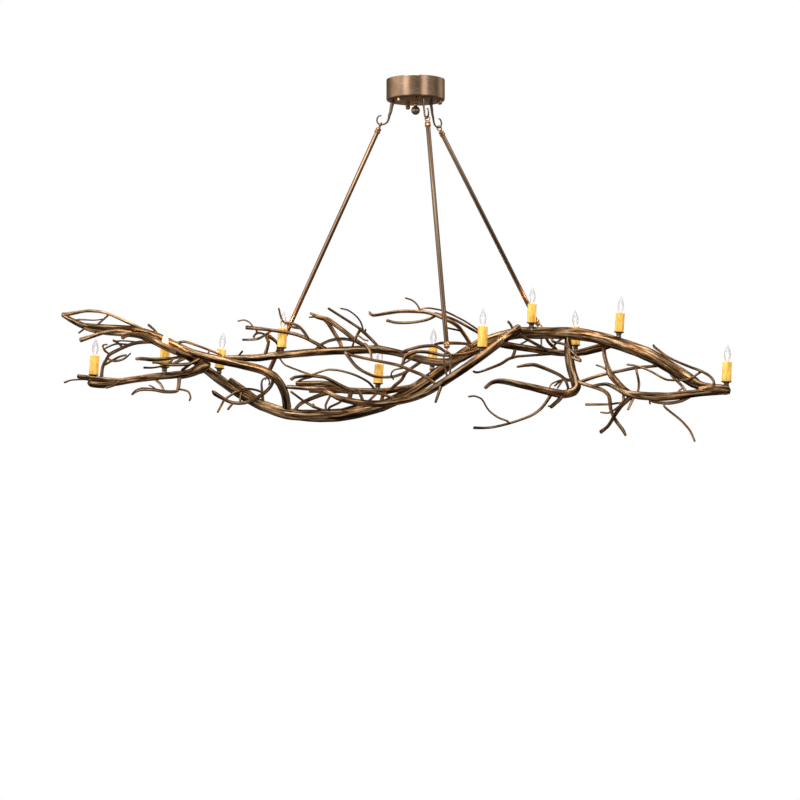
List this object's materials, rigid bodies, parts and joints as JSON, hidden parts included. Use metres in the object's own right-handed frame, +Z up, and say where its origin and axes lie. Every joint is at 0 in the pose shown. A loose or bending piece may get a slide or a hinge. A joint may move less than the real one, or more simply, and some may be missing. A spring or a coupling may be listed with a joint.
{
  "type": "chandelier",
  "caption": "Branch chandelier of forged bronze limbs and twigs with candle lights, hung by rods with looped ends from hooks under a round canopy",
  "frame": {"origin": "centre of the canopy's rim, on the ceiling", "axes": "+Z up, +X to the picture's right, +Y away from the viewer"},
  "size_m": [2.725, 0.8131, 1.4801],
  "materials": {
    "satin_bronze": "satin bronze with fine spun lines",
    "brass_nut": "brushed brass",
    "zinc_strap": "zinc plated",
    "hook_bronze": "dark bronze, forged",
    "copper_loop": "copper bronze, turned",
    "rod_bronze": "satin dark bronze",
    "bark_bronze": "forged iron with a brushed bronze patina and bark grooves",
    "dark_bronze": "dark bronze",
    "amber_cover": "amber wax resin",
    "socket_resin": "white phenolic",
    "bulb_brass": "polished brass cap",
    "clear_glass": "clear flame-shaped glass"
  },
  "bodies": {
    "canopy": {"canopy_pan": "satin_bronze", "mounting_strap": "zinc_strap", "centre_stud": "zinc_strap", "ball_finial": "satin_bronze", "cap_nuts": "brass_nut", "hook_left": "hook_bronze", "hook_middle": "hook_bronze", "hook_right": "hook_bronze"},
    "rod_left": {"rod_left": "rod_bronze", "rod_left_loops": "copper_loop"},
    "rod_middle": {"rod_middle": "rod_bronze", "rod_middle_loops": "copper_loop"},
    "rod_right": {"rod_right": "rod_bronze", "rod_right_loops": "copper_loop"},
    "frame": {"back_left_twigs": "bark_bronze", "back_limb": "bark_bronze", "back_middle_twigs": "bark_bronze", "bulb_caps": "bulb_brass", "bulb_glasses": "clear_glass", "candle_cover_1": "amber_cover", "candle_cover_10": "amber_cover", "candle_cover_11": "amber_cover", "candle_cover_2": "amber_cover", "candle_cover_3": "amber_cover", "candle_cover_4": "amber_cover", "candle_cover_5": "amber_cover", "candle_cover_6": "amber_cover", "candle_cover_7": "amber_cover", "candle_cover_8": "amber_cover", "candle_cover_9": "amber_cover", "crown_limb": "bark_bronze", "crown_loop": "bark_bronze", "crown_twigs": "bark_bronze", "drop_limb": "bark_bronze", "drop_twigs": "bark_bronze", "front_limb": "bark_bronze", "front_twigs": "bark_bronze", "hanger_left": "bark_bronze", "hanger_middle": "bark_bronze", "hanger_right": "bark_bronze", "left_arm": "bark_bronze", "left_arm_twigs": "bark_bronze", "left_prong": "bark_bronze", "left_rail": "bark_bronze", "left_rail_twigs": "bark_bronze", "light_cups": "dark_bronze", "light_sockets": "socket_resin", "light_stems": "dark_bronze", "middle_limb": "bark_bronze", "middle_strands": "bark_bronze", "right_arm": "bark_bronze", "right_back_twigs": "bark_bronze", "right_twigs": "bark_bronze", "rod_side_twigs": "bark_bronze", "swoop_twigs": "bark_bronze", "top_twigs": "bark_bronze", "wave_limb": "bark_bronze"}
  },
  "joints": [
    {"name": "sway", "type": "hinge", "parent": "canopy", "child": "rod_middle", "pos_m": [0.04543, -0.13981, -0.178], "axis": [1, 0, 0], "range_deg": [-5, 5]},
    {"name": "frame_tilt", "type": "hinge", "parent": "rod_middle", "child": "frame", "pos_m": [0.11988, -0.36431, -1.12544], "axis": [1, 0, 0], "range_deg": [-1.92, 1.92]},
    {"name": "left_rod_swing", "type": "hinge", "parent": "canopy", "child": "rod_left", "pos_m": [-0.14379, 0.03056, -0.178], "axis": [1, 0, 0], "range_deg": [-4.83, 4.83]},
    {"name": "right_rod_swing", "type": "hinge", "parent": "canopy", "child": "rod_right", "pos_m": [0.09836, 0.10924, -0.178], "axis": [1, 0, 0], "range_deg": [-5.28, 5.28]}
  ],
  "couplings": [
    {"joint": "frame_tilt", "follows": "sway", "ratio": -0.38375},
    {"joint": "left_rod_swing", "follows": "sway", "ratio": 0.96494},
    {"joint": "right_rod_swing", "follows": "sway", "ratio": 1.0555}
  ]
}
